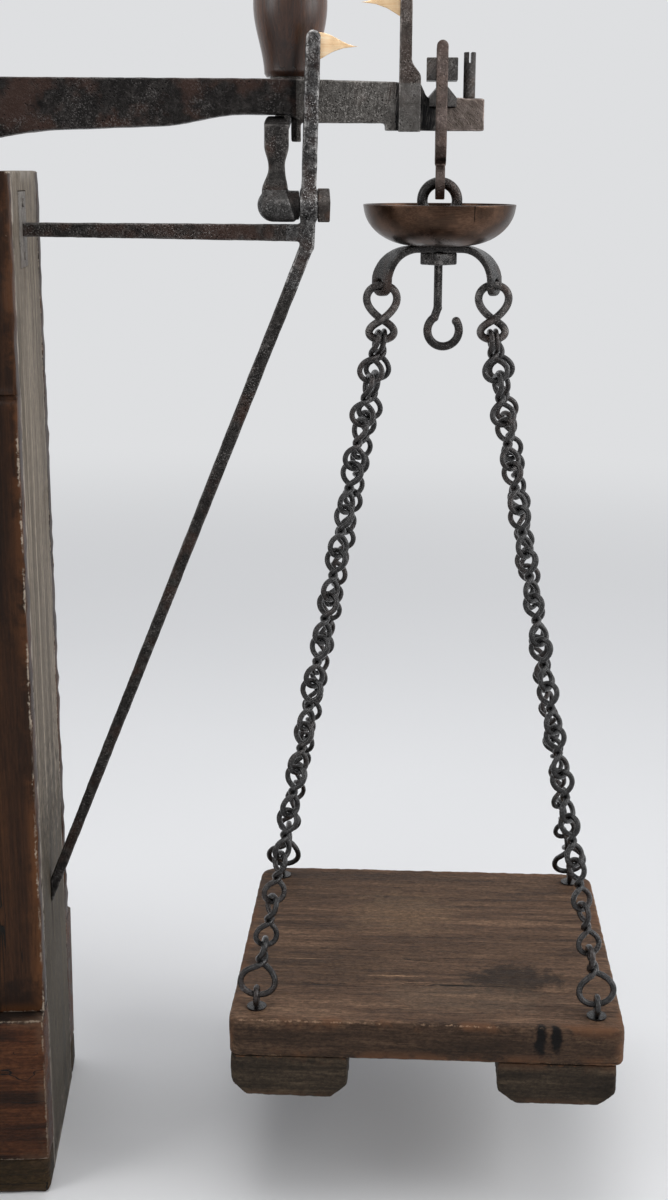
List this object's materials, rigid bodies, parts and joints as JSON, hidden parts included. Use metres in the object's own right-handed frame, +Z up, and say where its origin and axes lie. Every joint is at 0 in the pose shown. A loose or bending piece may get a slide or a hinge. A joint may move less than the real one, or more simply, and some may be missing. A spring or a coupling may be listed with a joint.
{
  "type": "weighing scale",
  "caption": "Platform scale with a wooden column and low platform, a forged unequal-armed beam, an arrest lever, and a weight board hung on chains below a tare dish.",
  "frame": {"origin": "on the floor straight below the beam's main knife edge, on the underside of a base tie", "axes": "+X along the beam towards the weight board, +Y away from the front, +Z up"},
  "size_m": [1.2194, 0.38, 0.964],
  "materials": {
    "column_wood": "worn varnish",
    "grey_wood": "weathered bare wood",
    "platform_wood": "worn planks",
    "board_wood": "oiled and worn",
    "handle_wood": "turned and polished",
    "forged_iron": "pitted, dark",
    "filed_iron": "worn bright",
    "knife_steel": "dull",
    "pointer_brass": "brushed",
    "dish_brass": "brown patina"
  },
  "bodies": {
    "stand": {"sills": "column_wood", "sill_ties": "column_wood", "front_foot": "column_wood", "rail_near": "column_wood", "rail_far": "column_wood", "front_board": "column_wood", "column_right_board": "grey_wood", "column_left_board": "grey_wood", "column_near_board": "column_wood", "column_far_board": "column_wood", "column_cap": "column_wood", "wall_plate": "forged_iron", "bracket": "forged_iron", "fixed_pointer": "pointer_brass", "pivot_bolt": "forged_iron", "pivot_nut": "forged_iron", "fulcrum_stand": "forged_iron", "main_bearings": "knife_steel", "lever_bearings": "knife_steel"},
    "beam": {"beam": "forged_iron", "main_knife": "knife_steel", "platform_rod_knife": "knife_steel", "lever_rod_knife": "knife_steel", "pan_knife": "knife_steel", "pointer_bar": "forged_iron", "moving_pointer": "pointer_brass", "end_stud": "forged_iron"},
    "arrest": {"arrest_lever": "forged_iron", "handle_ferrule": "filed_iron", "wooden_handle": "handle_wood"},
    "platform_rod": {"platform_rod": "forged_iron", "platform_rod_bearing": "knife_steel"},
    "lever_rod": {"lever_rod": "forged_iron", "lever_rod_bearing": "knife_steel"},
    "lower_lever": {"lower_lever": "forged_iron", "lever_fulcrum_knife": "knife_steel", "lever_load_knife": "knife_steel", "lever_end_knife": "knife_steel"},
    "platform": {"platform_side_beams": "platform_wood", "platform_front_beam": "platform_wood", "platform_knife_beam": "platform_wood", "platform_rear_beam": "platform_wood", "platform_planks": "platform_wood", "backboard": "platform_wood", "tongue": "forged_iron", "tongue_knife": "knife_steel", "platform_bearings": "knife_steel"},
    "stirrup": {"pan_stirrup": "forged_iron", "pan_bearing": "knife_steel"},
    "dish": {"eye_bolt": "forged_iron", "tare_dish": "dish_brass", "yoke": "forged_iron", "square_nut": "forged_iron", "hook": "forged_iron"},
    "pan": {"top_links": "forged_iron", "chains_near": "forged_iron", "chains_far": "forged_iron", "board_eyes": "forged_iron", "weight_board": "board_wood", "cleats": "board_wood"}
  },
  "joints": [
    {"name": "beam_tilt", "type": "hinge", "parent": "stand", "child": "beam", "pos_m": [0, 0, 0.848], "axis": [0, 1, 0], "range_deg": [0, 6]},
    {"name": "arrest_swing", "type": "hinge", "parent": "stand", "child": "arrest", "pos_m": [0.2951, -0.016, 0.76], "axis": [1, 0, 0], "range_deg": [-80, 0]},
    {"name": "platform_lift", "type": "slide", "parent": "stand", "child": "platform", "axis": [0, 0, 1], "range_m": [0, 0.0045]},
    {"name": "lower_lever_tilt", "type": "hinge", "parent": "stand", "child": "lower_lever", "pos_m": [-0.617, 0, 0.09], "axis": [0, 1, 0], "range_deg": [-2, 0]},
    {"name": "platform_rod_hang", "type": "hinge", "parent": "beam", "child": "platform_rod", "pos_m": [-0.04, 0, 0.848], "axis": [0, 1, 0], "range_deg": [-6, 0]},
    {"name": "lever_rod_hang", "type": "hinge", "parent": "beam", "child": "lever_rod", "pos_m": [-0.12, 0, 0.848], "axis": [0, 1, 0], "range_deg": [-6, 0]},
    {"name": "stirrup_swing", "type": "hinge", "parent": "beam", "child": "stirrup", "pos_m": [0.4, 0, 0.848], "axis": [0, 1, 0], "range_deg": [-10, 5]},
    {"name": "dish_swing", "type": "hinge", "parent": "stirrup", "child": "dish", "pos_m": [0.4, 0, 0.7764], "axis": [1, 0, 0], "range_deg": [-8, 8]},
    {"name": "board_swing", "type": "hinge", "parent": "dish", "child": "pan", "pos_m": [0.4, 0, 0.7016], "axis": [1, 0, 0], "range_deg": [-8, 8]}
  ],
  "couplings": [
    {"joint": "arrest_swing", "follows": "beam_tilt", "ratio": -13.333},
    {"joint": "platform_lift", "follows": "beam_tilt", "m_per_rad": 0.04},
    {"joint": "lower_lever_tilt", "follows": "beam_tilt", "ratio": -0.24145},
    {"joint": "platform_rod_hang", "follows": "beam_tilt", "ratio": -1},
    {"joint": "lever_rod_hang", "follows": "beam_tilt", "ratio": -1}
  ]
}
